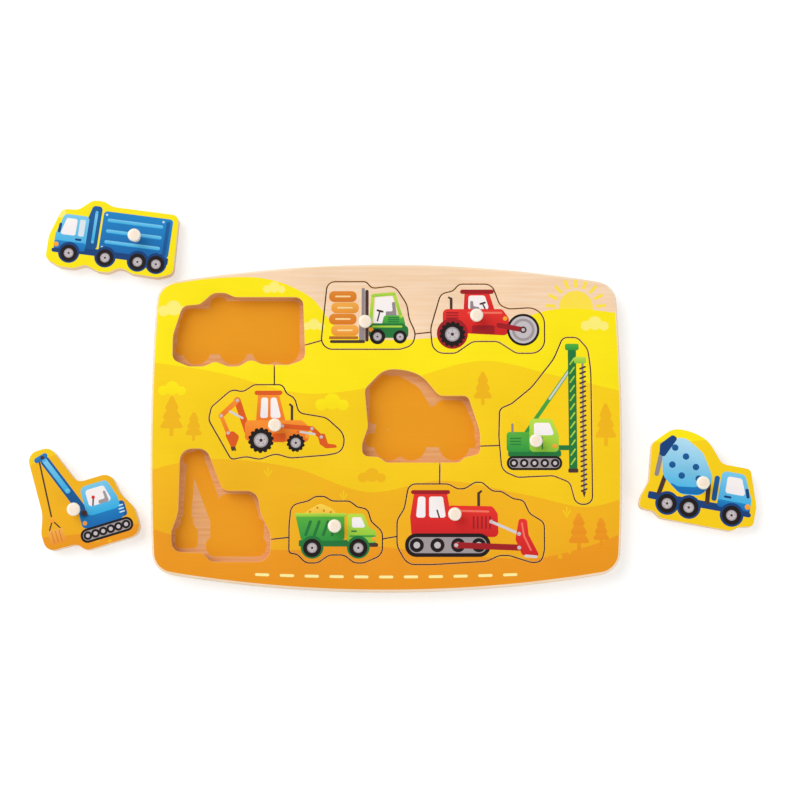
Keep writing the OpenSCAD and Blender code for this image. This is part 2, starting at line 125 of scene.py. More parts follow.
# Outlines, as lists of Vectors in the plane
def rounded(corners, radius):
    """A closed outline of these corners, each rounded by the radius as far as its sides allow."""
    outline = []
    for i, corner in enumerate(corners):
        back = corners[i - 1] - corner
        on = corners[(i + 1) % len(corners)] - corner
        half = back.angle(on) / 2
        run = min(radius / math.tan(half), REACH_SHARE * min(back.length, on.length))
        r = run * math.tan(half)
        if radius == 0 or half > math.pi / 2 - ARC_STEP / 2:
            outline.append(corner)
            continue
        middle = corner + (back.normalized() + on.normalized()).normalized() * r / math.sin(half)
        start = corner + back.normalized() * run - middle
        turn = math.pi - 2 * half
        if back.cross(on) > 0:
            turn = -turn
        steps = max(1, math.ceil(abs(turn) / ARC_STEP))
        for step in range(steps + 1):
            outline.append(middle + Matrix.Rotation(turn * step / steps, 2) @ start)
    return outline


def smooth_line(points, steps=10):
    """A smooth line through points, with straight steps between each two."""
    ends = [2 * points[0] - points[1], *points, 2 * points[-1] - points[-2]]
    line = []
    for a, b, c, d in zip(ends, ends[1:], ends[2:], ends[3:]):
        for step in range(steps):
            t = step / steps
            line.append((2 * b + (c - a) * t + (2 * a - 5 * b + 4 * c - d) * t ** 2
                         + (3 * b - a - 3 * c + d) * t ** 3) / 2)
    return line + [points[-1]]


def softened(loop):
    """A closed loop with the shallow corners of its straight steps cut off, and its sharp corners kept."""
    for _ in range(SOFTEN_ROUNDS):
        cut_loop = []
        for i, corner in enumerate(loop):
            back = loop[i - 1] - corner
            on = loop[(i + 1) % len(loop)] - corner
            if math.pi - back.angle(on) > SHARP_TURN:
                cut_loop.append(corner)
                continue
            reach = CUT_SHARE * min(back.length, on.length)
            cut_loop += [corner + back.normalized() * reach, corner + on.normalized() * reach]
        loop = cut_loop
    return loop


def far_side(loop, i, step):
    """The direction from a point of a loop to the next one, either way, that isn't too close to show it."""
    for k in range(1, len(loop)):
        side = loop[(i + step * k) % len(loop)] - loop[i]
        if side.length > SHORTEST_SIDE:
            return side.normalized()


def moved_right(loop, distance):
    """A closed loop moved to its right, which is outward if it runs counter-clockwise."""
    moved = []
    for i, point in enumerate(loop):
        side_in = -far_side(loop, i, -1)
        side_out = far_side(loop, i, 1)
        right_in, right_out = (Vector((s.y, -s.x)) for s in (side_in, side_out))
        moved.append(point + distance * (right_in + right_out) / (1 + right_in.dot(right_out)))
    return moved


def sides_of(loop):
    """Each two neighbours in a closed loop."""
    return zip(loop, loop[1:] + loop[:1])


def area(loop):
    """The area in a closed loop, below 0 if it runs clockwise."""
    return sum(a.x * b.y - a.y * b.x for a, b in sides_of(loop)) / 2


def corners_of(points):
    """The low and the high corner of the box around points, in the plane."""
    xs, ys = [p.x for p in points], [p.y for p in points]
    return Vector((min(xs), min(ys))), Vector((max(xs), max(ys)))


def ring(middle, r, sides, way=1):
    """A circle of points, counter-clockwise, or clockwise with a way of -1."""
    turns = [math.tau * i / sides for i in range(sides)]
    return [middle + r * Vector((math.cos(a), way * math.sin(a))) for a in turns]


def open_loops(faces):
    """The loops of edges that only one face has, with the faces on their left."""
    single = set()
    for corners in faces:
        for a, b in sides_of(corners):
            if (b, a) in single:
                single.remove((b, a))
            else:
                single.add((a, b))
    edges = dict(single)
    loops = []
    while edges:
        start, key = edges.popitem()
        loop = [start]
        while key != start:
            loop.append(key)
            key = edges.pop(key)
        loops.append(loop)
    return loops


def face_loops(node, level):
    """The outlines of a node's flat face at one height, seen from above, with the wood on their left."""
    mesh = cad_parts[node].data
    faces = []
    for polygon in mesh.polygons:
        corners = [mesh.vertices[i].co for i in polygon.vertices]
        if any(abs(c.z - level) > LEVEL_SLACK for c in corners):
            continue
        keys = [(round(c.x / MM, PLACE_DIGITS), round(c.y / MM, PLACE_DIGITS)) for c in corners]
        faces.append(keys[::-1] if polygon.normal.z < 0 else keys)
    loops = [[Vector(key) * MM for key in loop] for loop in open_loops(faces)]
    return sorted(loops, key=area, reverse=True)


class Drawing:
    """Shapes of ink in a box on the sheet, the later ones on top. Places are in hundredths of its length and
    height, and widths, radii and roundings in hundredths of its height."""

    def __init__(self, low, high):
        self.low, self.shapes = low, []
        self.part = (high - low) / 100
        self.squeeze = self.part.y / self.part.x

    def at(self, place):
        return self.low + Vector((place[0] * self.part.x, place[1] * self.part.y))

    def fill(self, ink, outline):
        self.shapes.append((ink, outline if area(outline) > 0 else outline[::-1]))

    def block(self, ink, rounding, *corners):
        self.fill(ink, rounded([self.at(c) for c in corners], rounding * self.part.y))

    def panel(self, ink, rounding, low, high):
        self.block(ink, rounding, low, (high[0], low[1]), high, (low[0], high[1]))

    def disc(self, ink, r, *middles):
        for middle in middles:
            self.fill(ink, ring(self.at(middle), r * self.part.y, DISC_SIDES))

    def cog(self, ink, r, middle, teeth):
        rim = []
        for i in range(teeth):
            for turn, reach in TREAD:
                a = math.tau * (i + turn) / teeth
                rim.append(self.at(middle) + reach * r * self.part.y * Vector((math.cos(a), math.sin(a))))
        self.fill(ink, rim)

    def bar(self, ink, wide, *ends):
        for a, b in zip(ends, ends[1:]):
            p, q = self.at(a), self.at(b)
            along = (q - p).normalized() * wide * self.part.y / 2
            side = Vector((along.y, -along.x))
            self.fill(ink, [p + side, q + side, q - side, p - side])
        self.disc(ink, wide / 2, *ends)

    def bars(self, ink, wide, first, last, step, count):
        for i in range(count):
            shift = Vector(step) * i
            self.bar(ink, wide, Vector(first) + shift, Vector(last) + shift)

    def pipe(self, wide, tip_wide, foot, bend, tip):
        self.bar("iron", wide, foot, bend)
        self.bar("iron", tip_wide, bend, tip)

    def land(self, ink, *crest):
        line = smooth_line([self.at(p) for p in crest])
        self.fill(ink, [self.at((crest[0][0], LAND_FOOT)), self.at((crest[-1][0], LAND_FOOT)), *line[::-1]])

    def wheel(self, r, middle, teeth=0):
        if teeth:
            self.cog("tyre", r, middle, teeth)
        else:
            self.disc("tyre", r, middle)
        self.disc("hub", HUB_SHARE * r, middle)
        self.disc("zinc", HUB_FACE_SHARE * r, middle)
        self.disc("iron", AXLE_SHARE * r, middle)
        reach = NUT_RING_SHARE * r
        for i in range(WHEEL_NUTS):
            a = math.tau * (i + FIRST_NUT) / WHEEL_NUTS
            nut = (middle[0] + reach * math.cos(a) * self.squeeze, middle[1] + reach * math.sin(a))
            self.disc("hub", NUT_SHARE * r, nut)

    def arched_wheels(self, ink, arch_r, arch_y, wheel_r, wheel_y, *places):
        self.disc(ink, arch_r, *[(x, arch_y) for x in places])
        for x in places:
            self.wheel(wheel_r, (x, wheel_y))

    def track(self, low, high, rollers):
        tall = high[1] - low[1]
        tall_along = tall * self.squeeze
        self.panel("tyre", tall / 2, low, high)
        rim = Vector((TRACK_RIM_SHARE * tall_along, TRACK_RIM_SHARE * tall))
        self.panel("hub", tall / 2, Vector(low) + rim, Vector(high) - rim)
        for i in range(rollers):
            along = low[0] + tall_along / 2 + (high[0] - low[0] - tall_along) * i / (rollers - 1)
            middle = (along, (low[1] + high[1]) / 2)
            self.disc("tyre", ROLLER_SHARE * tall, middle)
            self.disc("zinc", ROLLER_HUB_SHARE * tall, middle)

    def firs(self, ink, *rows):
        for x, y, tall, wide in rows:
            half = FIR_TRUNK_HALF * wide
            self.panel(ink, 0, (x - half, y), (x + half, y + FIR_TRUNK_TALL * tall))
            for low, high, reach in FIR_TIERS:
                self.block(ink, FIR_ROUNDING, (x - reach * wide, y + low * tall),
                           (x + reach * wide, y + low * tall), (x, y + high * tall))

    def bushes(self, ink, *rows):
        for x, y, size in rows:
            for along, up, r in BUSH_BALLS:
                self.disc(ink, r * size, (x + along * size * self.squeeze, y + up * size))

    def tufts(self, ink, size, *feet):
        for x, y in feet:
            for lean in TUFT_LEANS:
                tip = (x + lean * size * self.squeeze, y + size * (1 - abs(lean)))
                self.bar(ink, TUFT_BLADE_SHARE * size, (x, y), tip)


# Shares of a wheel's radius, a track's height, a fir's height and width, and a bush's and a tuft's size
TREAD = ((0.0, 0.88), (0.2, 1.0), (0.6, 1.0), (0.8, 0.88))
HUB_SHARE = 0.56
HUB_FACE_SHARE = 0.44
AXLE_SHARE = 0.13
WHEEL_NUTS = 5
FIRST_NUT = 0.25
NUT_RING_SHARE = 0.29
NUT_SHARE = 0.06
TRACK_RIM_SHARE = 0.16
ROLLER_SHARE = 0.30
ROLLER_HUB_SHARE = 0.14
FIR_TRUNK_HALF = 0.08
FIR_TRUNK_TALL = 0.3
FIR_TIERS = ((0.18, 0.62, 0.5), (0.40, 0.82, 0.4), (0.62, 1.0, 0.3))
BUSH_BALLS = ((-0.55, 0.18, 0.30), (0.0, 0.34, 0.42), (0.55, 0.16, 0.28))
TUFT_LEANS = (-0.35, 0.0, 0.35)
TUFT_BLADE_SHARE = 0.13

# The board's print, in hundredths of the board
FIR_ROUNDING = 0.6
LAND_FOOT = -5
SUN = (90.5, 86.5)
SUN_R = 5.2
SUN_RAYS = 9
FIRST_RAY, RAY_STEP = math.radians(4), math.radians(21.5)
RAY_WIDE, RAY_FROM, RAY_TO = 1, 6.6, 8.8
DASHES = 11
FIRST_DASH, DASH_STEP = 24, 5.2
DASH_WIDE, DASH_HALF = 0.85, 1.2
ROAD_LOW, ROAD_BOW, ROAD_MIDDLE = 4.5, 0.001, 50


# The print of the vehicles
def draw_box_truck(d):
    d.panel("navy", 2, (9, 21), (95, 31))
    d.panel("blue", 5, (40, 30), (94.5, 86.5))
    d.bars("sky", 5, (45, 43), (86, 43), (0, 15.5), 3)
    d.panel("denim", 2, (89.5, 34), (92.5, 82.5))
    d.disc("ice", 1.6, (42.5, 35), (42.5, 81.5), (87, 35), (87, 81.5))
    d.block("denim", 5, (22, 30), (38.5, 30), (38.5, 92), (31, 92))
    d.bar("sky", 4, (34.5, 40), (34.5, 83))
    d.block("sky", 6, (5, 25), (29.5, 25), (29.5, 75.5), (10, 75.5), (5, 46))
    d.panel("blue", 3, (5, 25), (29.5, 37))
    d.block("glass", 3, (8.5, 46), (20.5, 46), (20.5, 70), (12, 70))
    d.panel("glass_shade", 2, (22.5, 46), (27, 70))
    d.bar("navy", 3, (21.5, 41), (25, 41))
    d.bar("navy", 4, (7.5, 50), (7.9, 60))
    d.disc("lamp", 3.5, (6.7, 31))
    d.bar("navy", 6, (5.5, 22.5), (10, 22.5))
    d.arched_wheels("navy", 15, 21.5, 12, 20.5, 17.5, 46, 71.5, 86)


def draw_forklift(d):
    d.bar("steel", 5, (44.5, 13), (44.5, 89))
    d.bar("iron", 5, (48.5, 13), (48.5, 86))
    d.bar("steel", 4, (41.5, 10), (41.5, 42))
    d.bar("iron", 4.5, (10, 10.5), (45, 10.5))
    d.panel("plank", 1, (7.5, 14), (39, 18.5))
    for i, ink in enumerate(("sack", "clay", "sack", "clay")):
        low = 19 + 17 * i
        lean = 1.2 * (-1) ** i
        d.panel(ink, 7.5, (8.5 + lean, low), (38.5 + lean, low + 16.5))
        d.bar("cream", 2.5, (16 + lean, low + 8.5), (31 + lean, low + 8.5))
    d.block("glass", 3, (56, 36), (81, 36), (81, 52), (76.5, 79), (57.5, 77))
    d.bar("iron", 2.2, (60, 42), (62.5, 56))
    d.bar("iron", 3, (60, 57.5), (65.5, 55.5))
    d.block("steel", 2, (69, 48), (81, 48), (79, 70), (75.5, 70), (76.5, 56), (69, 56))
    d.block("green", 5, (64, 32), (91, 32), (88, 50), (67, 50))
    d.block("pine", 5, (50.5, 16), (93.5, 16), (93.5, 31), (88, 38), (50.5, 38))
    d.bar("lime", 5, (52.5, 38), (55, 80), (78, 82.5), (85.5, 48))
    d.bar("lime", 3, (55, 33), (86, 33))
    d.disc("lamp", 3.5, (53, 28.5))
    d.bars("pine", 1.8, (72, 40.5), (83, 40.5), (0, 3), 3)
    d.wheel(11.5, (60, 18))
    d.wheel(10, (84.5, 17.5))


def draw_road_roller(d):
    d.pipe(4, 3, (17.5, 60), (17.5, 79), (15.5, 81))
    d.block("red", 3, (28.5, 58), (57, 58), (51, 90), (29.5, 90))
    d.block("glass", 4, (32.5, 63), (51.5, 63), (47.5, 84), (33, 84))
    d.bar("iron", 2.2, (48, 63), (45.5, 72))
    d.bar("iron", 2.8, (43.5, 71.5), (47.5, 73.5))
    d.block("steel", 2, (34.5, 63), (42.5, 63), (42.5, 67), (37.5, 68), (37, 76), (34.5, 76))
    d.bar("wine", 6.5, (27.5, 89.5), (53.5, 89.5))
    d.block("red", 7, (10, 30), (68, 25), (69, 50), (63, 64), (10, 64))
    d.bar("rose", 3, (33, 58.5), (62, 58.5))
    d.bars("wine", 2, (13.5, 47), (23.5, 47), (0, 3.8), 4)
    d.block("wine", 3, (36, 28), (56, 27), (56, 40), (36, 40))
    d.disc("lamp", 3.2, (65.5, 50))
    drum = (81.5, 33.5)
    for ink, r in (("tyre", 23.5), ("zinc", 20), ("hub", 16.5), ("zinc", 12.5)):
        d.disc(ink, r, drum)
    d.bar("wine", 7.5, (60, 40), drum)
    d.disc("iron", 5, drum)
    d.disc("zinc", 2.5, drum)
    d.disc("wine", 22.5, (18.5, 28))
    d.wheel(19, (18.5, 27), 14)


def draw_backhoe(d):
    d.bar("rust", 9, (29, 34), (20.5, 79))
    d.bar("tangerine", 7, (20.5, 79), (8.5, 58))
    d.bar("silver", 3, (24.5, 55), (15, 64))
    d.bar("tangerine", 5.5, (8.5, 58), (14, 34))
    d.block("rust", 5, (10.8, 35), (16.5, 14.5), (19, 13), (22.5, 30), (18, 37))
    d.bars("iron", 2, (16.5, 15), (17.2, 11), (1.2, 0), 3)
    d.disc("zinc", 2.2, (20.5, 79), (8.5, 58), (14, 34.5))
    d.pipe(3.5, 3, (61.5, 50), (61.5, 71), (60, 73.5))
    d.block("tangerine", 2, (34.5, 45), (57.5, 45), (51.5, 89), (36, 89))
    d.block("glass", 3, (37.8, 55), (43.5, 55), (43.5, 83), (38.5, 83))
    d.block("glass", 3, (45.5, 55), (53.5, 55), (49.7, 83), (45.5, 83))
    d.bar("rust", 6, (35, 89.5), (52.5, 89.5))
    d.block("tangerine", 6, (26.5, 24), (74, 22), (74.5, 43), (69, 52), (26.5, 52))
    d.block("rust", 3, (47, 22), (57, 22), (57, 34), (47, 34))
    d.bars("rust", 1.8, (65.5, 36), (71.5, 36), (0, 4), 3)
    d.bar("rust", 6.5, (54.5, 44), (76.5, 40.5), (84.5, 27))
    d.block("rust", 3, (80.5, 33), (82.5, 19), (87, 13.5), (95.5, 14.5), (94.5, 18.5), (88.5, 20),
            (86, 34))
    d.bar("silver", 3, (68, 36), (78.5, 33))
    d.disc("zinc", 2.2, (54.5, 44), (76.5, 40.5), (83.5, 29))
    d.disc("lamp", 3, (73, 30))
    d.wheel(17.5, (38.5, 24.5), 14)
    d.wheel(12.5, (64.5, 21), 12)


def draw_mixer_truck(d):
    d.panel("navy", 2, (6, 19), (95, 27))
    d.bar("iron", 5, (15, 26), (18.5, 50))
    d.bar("iron", 5, (57.5, 26), (56, 50))
    d.bar("steel", 5, (11.5, 70), (10.5, 47))
    d.block("cyan", 14, (33, 29.5), (52, 32), (60, 52), (47, 79), (29, 92.5), (16, 86), (12.5, 68),
            (16, 46))
    d.block("blue", 10, (33, 30.5), (52, 33), (58.5, 50), (45, 40), (30, 37.5), (20, 42))
    d.disc("denim", 3.6, (22.5, 79), (22.5, 60), (33, 71.5), (32, 50), (43, 62), (47, 50))
    d.block("navy", 3, (10, 68.5), (14.5, 66.5), (23.5, 90), (18.5, 92.5), (9, 80))
    d.panel("denim", 3, (60.5, 29), (65, 57))
    d.block("sky", 6, (66, 24), (95, 24), (95, 37), (86, 63.5), (66, 63.5))
    d.panel("blue", 3, (66, 24), (95, 32))
    d.block("glass", 3, (71.5, 40), (89.5, 40), (84, 58.5), (71.5, 58.5))
    d.bar("navy", 2.5, (72, 36), (76.5, 36))
    d.bar("navy", 3.5, (91.5, 40), (89.8, 47))
    d.disc("lamp", 3, (92.5, 29))
    d.bar("navy", 5, (90, 20.5), (94.5, 20.5))
    d.arched_wheels("navy", 13, 17.5, 10.5, 17, 23.5, 42.5, 80)


def draw_drill_rig(d):
    d.bar("green", 2.4, (27, 41), (79, 82))
    d.bar("silver", 1.3, (55, 63.1), (79, 82))
    d.panel("pine", 0.8, (75.5, 20.5), (84.5, 95.5))
    d.bars("lime", 0.9, (77.8, 23.5), (82.2, 27), (0, 5.5), 12)
    d.panel("green", 1.2, (72.5, 92.5), (87.5, 96.5))
    d.bar("steel", 1.3, (91.5, 7), (91.5, 86))
    d.bars("iron", 1.1, (88.8, 7.5), (94.2, 8.7), (0, 2.95), 26)
    d.block("iron", 0, (89.5, 7.2), (91.5, 3.4), (93.5, 7.2))
    d.panel("lime", 1.2, (82, 84.5), (95.5, 88.5))
    d.panel("iron", 0.8, (74.5, 18.5), (85.5, 21))
    d.bar("pine", 3, (62, 33.5), (78.5, 33.5))
    d.panel("pine", 1.2, (9, 28), (67, 32))
    d.panel("green", 2, (7.5, 31), (34.5, 43))
    d.bars("pine", 0.7, (12, 35.5), (23, 35.5), (0, 1.8), 3)
    d.bar("steel", 1.4, (14, 43), (14, 47.5))
    d.block("lime", 2.5, (32.5, 31), (64.5, 31), (64.5, 41.5), (57, 51), (32.5, 51))
    d.block("glass", 1.4, (37.5, 41), (60, 41), (54.5, 48.5), (37.5, 48.5))
    d.bar("pine", 0.8, (46.5, 33), (46.5, 39.5))
    d.bar("pine", 1, (40, 37.5), (43.5, 37.5))
    d.disc("lamp", 1.4, (60, 34.5))
    d.track((7.5, 20), (68, 28.5), 5)


def draw_crane_truck(d):
    d.bar("iron", 1.4, (18.5, 90), (15, 37))
    d.bar("iron", 1.2, (15, 35), (8.5, 25.5))
    d.bar("iron", 1.2, (15, 35), (21.5, 25.5))
    d.disc("lamp", 2.6, (15, 35.5))
    d.panel("sack", 1.2, (7, 13.5), (23, 26.5))
    d.bars("clay", 1, (11, 15), (11, 25), (4, 0), 3)
    d.panel("denim", 3, (82, 20), (91.5, 34.5))
    d.block("blue", 4, (43, 19), (88, 19), (88, 33), (43, 36))
    d.bars("ice", 1.2, (84.5, 24.5), (89, 24.5), (0, 3), 3)
    d.bar("denim", 8.5, (49, 33), (24.5, 88.5))
    d.bar("sky", 4.5, (38.5, 56.5), (23.5, 90.5))
    d.bar("blue", 5, (16.5, 91.5), (25.5, 93.5))
    d.disc("iron", 1.8, (22.5, 92.5))
    d.block("sky", 5, (51, 29), (87, 29), (86, 40), (80, 56.5), (51, 56.5))
    d.block("glass", 3, (55.5, 37), (80, 37), (75.5, 52.5), (55.5, 52.5))
    d.block("hub", 1.5, (66, 37), (77, 37), (75.5, 47.5), (73, 47.5), (73.5, 40.5), (66, 40.5))
    d.bar("iron", 1.4, (59.5, 37.5), (62, 44))
    d.disc("red", 1.6, (62, 44.5))
    d.disc("iron", 2.6, (49, 33))
    d.disc("lamp", 2, (46.5, 24))
    d.track((38.5, 6), (94.5, 19), 6)


def draw_dump_truck(d):
    d.panel("pine", 2, (10, 24), (93, 34))
    d.block("sand", 10, (10, 68), (20, 80), (33, 90.5), (45, 83), (56, 68))
    d.disc("clay", 1.8, (22, 77.5), (30, 83.5), (37, 79), (44.5, 77))
    d.block("green", 5, (12.5, 33), (59.5, 33), (59.5, 73), (6, 73))
    d.bars("pine", 4.5, (17.5, 42), (22.5, 62), (9.5, 0), 4)
    d.bar("lime", 5.5, (7, 72.5), (60, 72.5))
    d.block("lime", 5, (62.5, 30), (94, 30), (94, 47), (86, 54), (80, 74.5), (62.5, 74.5))
    d.block("glass", 3, (67.5, 53), (82.5, 53), (77.5, 69), (67.5, 69))
    d.bar("pine", 2.5, (67.5, 47.5), (72, 47.5))
    d.bar("green", 3, (66, 40), (92, 40))
    d.disc("lamp", 3.4, (91.5, 35.5))
    d.bar("iron", 6, (88, 26.5), (94, 26.5))
    d.arched_wheels("pine", 17.5, 23, 14, 22, 24.5, 74.5)


def draw_bulldozer(d):
    d.pipe(3.5, 2.8, (55.5, 66), (55.5, 87), (57.2, 89.5))
    d.block("red", 6, (34, 33), (69, 33), (68.5, 62), (65, 71), (34, 72))
    d.bar("rose", 2.5, (39, 65.5), (62, 64.5))
    d.bars("wine", 2.2, (52, 44), (52, 58), (2.8, 0), 5)
    d.block("red", 6, (9.5, 33), (37.5, 33), (36.5, 60), (33.5, 90), (11.5, 90), (8.5, 58))
    d.block("glass", 3, (12.5, 57), (19, 57), (19, 83), (14, 83))
    d.block("glass", 3, (21.5, 57), (33, 57), (31, 83), (21.5, 83))
    d.bar("wine", 5, (10.5, 88.5), (34.5, 88.5))
    d.bar("iron", 2, (28.5, 57), (27, 66))
    d.bar("silver", 3.5, (64, 52), (83, 37))
    d.track((5, 8.5), (63.5, 37.5), 4)
    d.bar("wine", 7.5, (40, 23), (83, 20))
    d.block("red", 4, (80.5, 30), (85, 11), (94.5, 8.5), (96.5, 11.5), (89.5, 36), (88.5, 55), (83, 56))
    d.bar("rose", 2.2, (85, 50), (86.5, 34), (91, 17))
    d.bar("silver", 3.5, (87.5, 9.8), (94.5, 8.8))
    d.disc("zinc", 2.4, (64, 52), (83, 37), (83, 20), (40, 23))


# The print of the board: a bare wood sky over hills, with trees and a road
def draw_board(d):
    for i in range(SUN_RAYS):
        a = FIRST_RAY + RAY_STEP * i
        ray = Vector((math.cos(a) * d.squeeze, math.sin(a)))
        d.bar("sun", RAY_WIDE, Vector(SUN) + RAY_FROM * ray, Vector(SUN) + RAY_TO * ray)
    d.disc("sun", SUN_R, SUN)
    d.land("yellow", (-2, 93), (12, 95.5), (24, 95.5), (33.5, 90), (40, 80), (50, 76.5), (70, 79),
           (86, 86), (102, 84.5))
    d.bushes("lemon", (4.5, 84.5, 5.5), (26, 91.5, 4), (34.5, 80, 4), (94.5, 80, 5))
    d.land("gold", (-2, 70), (14, 66.5), (33, 60), (52, 63.5), (70, 70), (86, 65.5), (102, 60))
    d.firs("honey", (4.5, 47, 13, 5.5), (9.2, 45.5, 9.5, 4.2), (70.5, 56.5, 11, 4.5), (96.5, 44, 14, 5))
    d.bushes("yellow", (38.5, 55.5, 6), (4.5, 60, 5))
    d.land("amber", (-2, 36), (12, 40), (30, 37.5), (46, 30), (62, 33.5), (80, 29), (92, 25.5), (102, 29))
    d.bushes("honey", (33.5, 30, 5.5), (47, 33.5, 5))
    d.tufts("gold", 3, (25, 34.5), (41, 27.5), (60, 38.5), (88, 22.5))
    d.land("orange", (-2, 20), (10, 15.5), (28, 12.5), (44, 14), (62, 11.5), (80, 10), (92, 13.5),
           (102, 19))
    d.firs("orange", (90.5, 12.5, 12, 5), (95.2, 14, 9, 4))
    for i in range(DASHES):
        x = FIRST_DASH + DASH_STEP * i
        ends = (x - DASH_HALF, x + DASH_HALF)
        d.bar("pale", DASH_WIDE, *[(e, ROAD_LOW + ROAD_BOW * (e - ROAD_MIDDLE) ** 2) for e in ends])
    for r, spot in ((0.8, (16, 11.5)), (0.6, (18.5, 10)), (0.7, (86.5, 10.5)), (0.5, (88.5, 11.8))):
        d.disc("amber", r, spot)


# Each vehicle's drawing, the slot of its print, and the place of its peg in the drawing
VEHICLES = {
    "box_truck": (draw_box_truck, "blue_print", (67, 54.5)),
    "forklift": (draw_forklift, "green_print", (47, 38)),
    "road_roller": (draw_road_roller, "red_print", (40, 52)),
    "backhoe": (draw_backhoe, "orange_print", (49, 44)),
    "mixer_truck": (draw_mixer_truck, "blue_print", (50, 45)),
    "drill_rig": (draw_drill_rig, "green_print", (39, 37)),
    "crane_truck": (draw_crane_truck, "blue_print", (41, 38)),
    "dump_truck": (draw_dump_truck, "green_print", (49, 54)),
    "bulldozer": (draw_bulldozer, "red_print", (39, 60)),
}


class Plate:
    """The mesh of one flat sheet, gathered face by face."""

    def __init__(self, high, shapes):
        self.high, self.shapes = high, shapes
        self.points, self.faces, self.slots, self.colours, self.bake = [], [], [], [], []
        self.edge_shapes = {}
        self.strips = 0

    def add_row(self, loop, z):
        start = len(self.points)
        self.points += [Vector((p.x, p.y, z)) for p in loop]
        return list(range(start, len(self.points)))

    def add_face(self, corners, slot, colours=None, bake=None):
        """Adds a face with the ink at its corners and, if it isn't flat, its place in a strip of the bake."""
        self.faces.append(corners)
        self.slots.append(slot)
        self.colours.append(colours or [WHITE] * len(corners))
        self.bake.append(bake)

    def add_inked(self, corners, shape_index, bake=None):
        """Adds a face with the ink of a shape, or bare where there is none."""
        if shape_index < 0:
            self.add_face(corners, SLOT_BARE, bake=bake)
        else:
            shape = self.shapes[shape_index]
            self.add_face(corners, SLOT_PRINT, [ink_colour(shape, self.points[i]) for i in corners], bake)

    def bake_map(self):
        """A place in the bake for each corner of each face: the top as large as fits, and over it the strips
        of the walls and a small back."""
        low, high = corners_of(self.points)
        size = high - low
        tall = size.y > size.x
        across, up = (size.y, size.x) if tall else (size.x, size.y)
        room = 1 - 2 * BAKE_MARGIN
        scale = min(room / across, BAKE_TOP_LIMIT / up)
        strips_low = 2 * BAKE_MARGIN + up * scale
        strip = BAKE_STRIPS / max(self.strips, 1)
        back_low = strips_low + BAKE_STRIPS + BAKE_MARGIN
        back_scale = min(room / across, (1 - BAKE_MARGIN - back_low) / up)
        places = []
        for corners, slot, bake in zip(self.faces, self.slots, self.bake):
            if bake:
                number, spots = bake
                foot = strips_low + strip * number
                places += [(BAKE_MARGIN + room * u, foot + BAKE_STRIP_FILL * strip * v) for u, v in spots]
                continue
            foot, fit = (back_low, back_scale) if slot == SLOT_BACK else (BAKE_MARGIN, scale)
            for i in corners:
                from_low = self.points[i].xy - low
                u, v = (from_low.y, from_low.x) if tall else from_low
                places.append((BAKE_MARGIN + fit * u, foot + fit * v))
        return places


def cut(loops, shapes, merge_distance):
    """The face inside the first loop and outside the others, as points, counter-clockwise triangles with the
    place of the shape on top of each, and the places in the loops that each point comes from."""
    outlines = loops + [outline for _, outline in shapes]
    places = []
    faces = []
    for outline in outlines:
        face = list(range(len(places), len(places) + len(outline)))
        faces.append(face if area(outline) > 0 else face[::-1])
        places += [p / MM for p in outline]
    points, _, triangles, sources, _, covers = delaunay_2d_cdt(places, [], faces, 1, merge_distance, True)
    kept = []
    for triangle, cover in zip(triangles, covers):
        if 0 in cover and not any(0 < i < len(loops) for i in cover):
            upright = area([points[i] for i in triangle]) > 0
            kept.append((triangle if upright else triangle[::-1], max(cover) - len(loops)))
    used = sorted({i for triangle, _ in kept for i in triangle})
    order = {i: k for k, i in enumerate(used)}
    kept = [([order[i] for i in triangle], shape_index) for triangle, shape_index in kept]
    return [points[i] * MM for i in used], kept, [sources[i] for i in used]


SLOT_PRINT, SLOT_BARE, SLOT_EDGE, SLOT_WALL, SLOT_BACK, SLOT_SHADED_CUT = range(6)
SLOT_RIM, SLOT_CROWN = range(2)
NO_SHAPE = -1
WHITE = Vector((1, 1, 1))
BAKE_MARGIN = 0.01
BAKE_TOP_LIMIT = 0.78
BAKE_STRIPS = 0.07
BAKE_STRIP_FILL = 0.85


def ink_colour(shape, point):
    """The colour of a shape's ink at a point of it."""
    ink, outline = shape
    colours = [linear(c) for c in INKS[ink]]
    heights = [p.y for p in outline]
    share = (point.y - min(heights)) / (max(heights) - min(heights))
    return colours[0].lerp(colours[-1], min(max(share, 0), 1))


def top_face(plate, loops):
    """The printed top face inside the loops. Gives the rows of points along its edges, and for each point of
    the face the place in the loops that it comes from, if it does."""
    points, kept, sources = cut(loops, plate.shapes, MERGE_DISTANCE)
    plate.add_row(points, plate.high)
    for triangle, shape_index in kept:
        plate.add_inked(triangle, shape_index)
        for a, b in sides_of(triangle):
            plate.edge_shapes[a, b] = shape_index
    return open_loops([triangle for triangle, _ in kept]), sources


def beside(point, loops, walls):
    """The point of the walls that lies beside a point on the sides of the loops."""
    nearest = None
    for loop, edge in zip(loops, walls):
        for i, start in enumerate(loop):
            side = start - loop[i - 1]
            share = min(max((point - loop[i - 1]).dot(side) / side.length_squared, 0), 1)
            gap = (loop[i - 1] + share * side - point).length
            if nearest is None or gap < nearest[0]:
                nearest = (gap, edge[i - 1].lerp(edge[i], share))
    return nearest[1]


def wall_row(plate, row, sources, loops, walls):
    """The place on the walls of each point of a row along the top face."""
    flat = [p for edge in walls for p in edge]
    found = []
    for i in row:
        from_loop = [k for k in sources[i] if k < len(flat)]
        found.append(flat[from_loop[0]] if from_loop else beside(plate.points[i].xy, loops, walls))
    return found


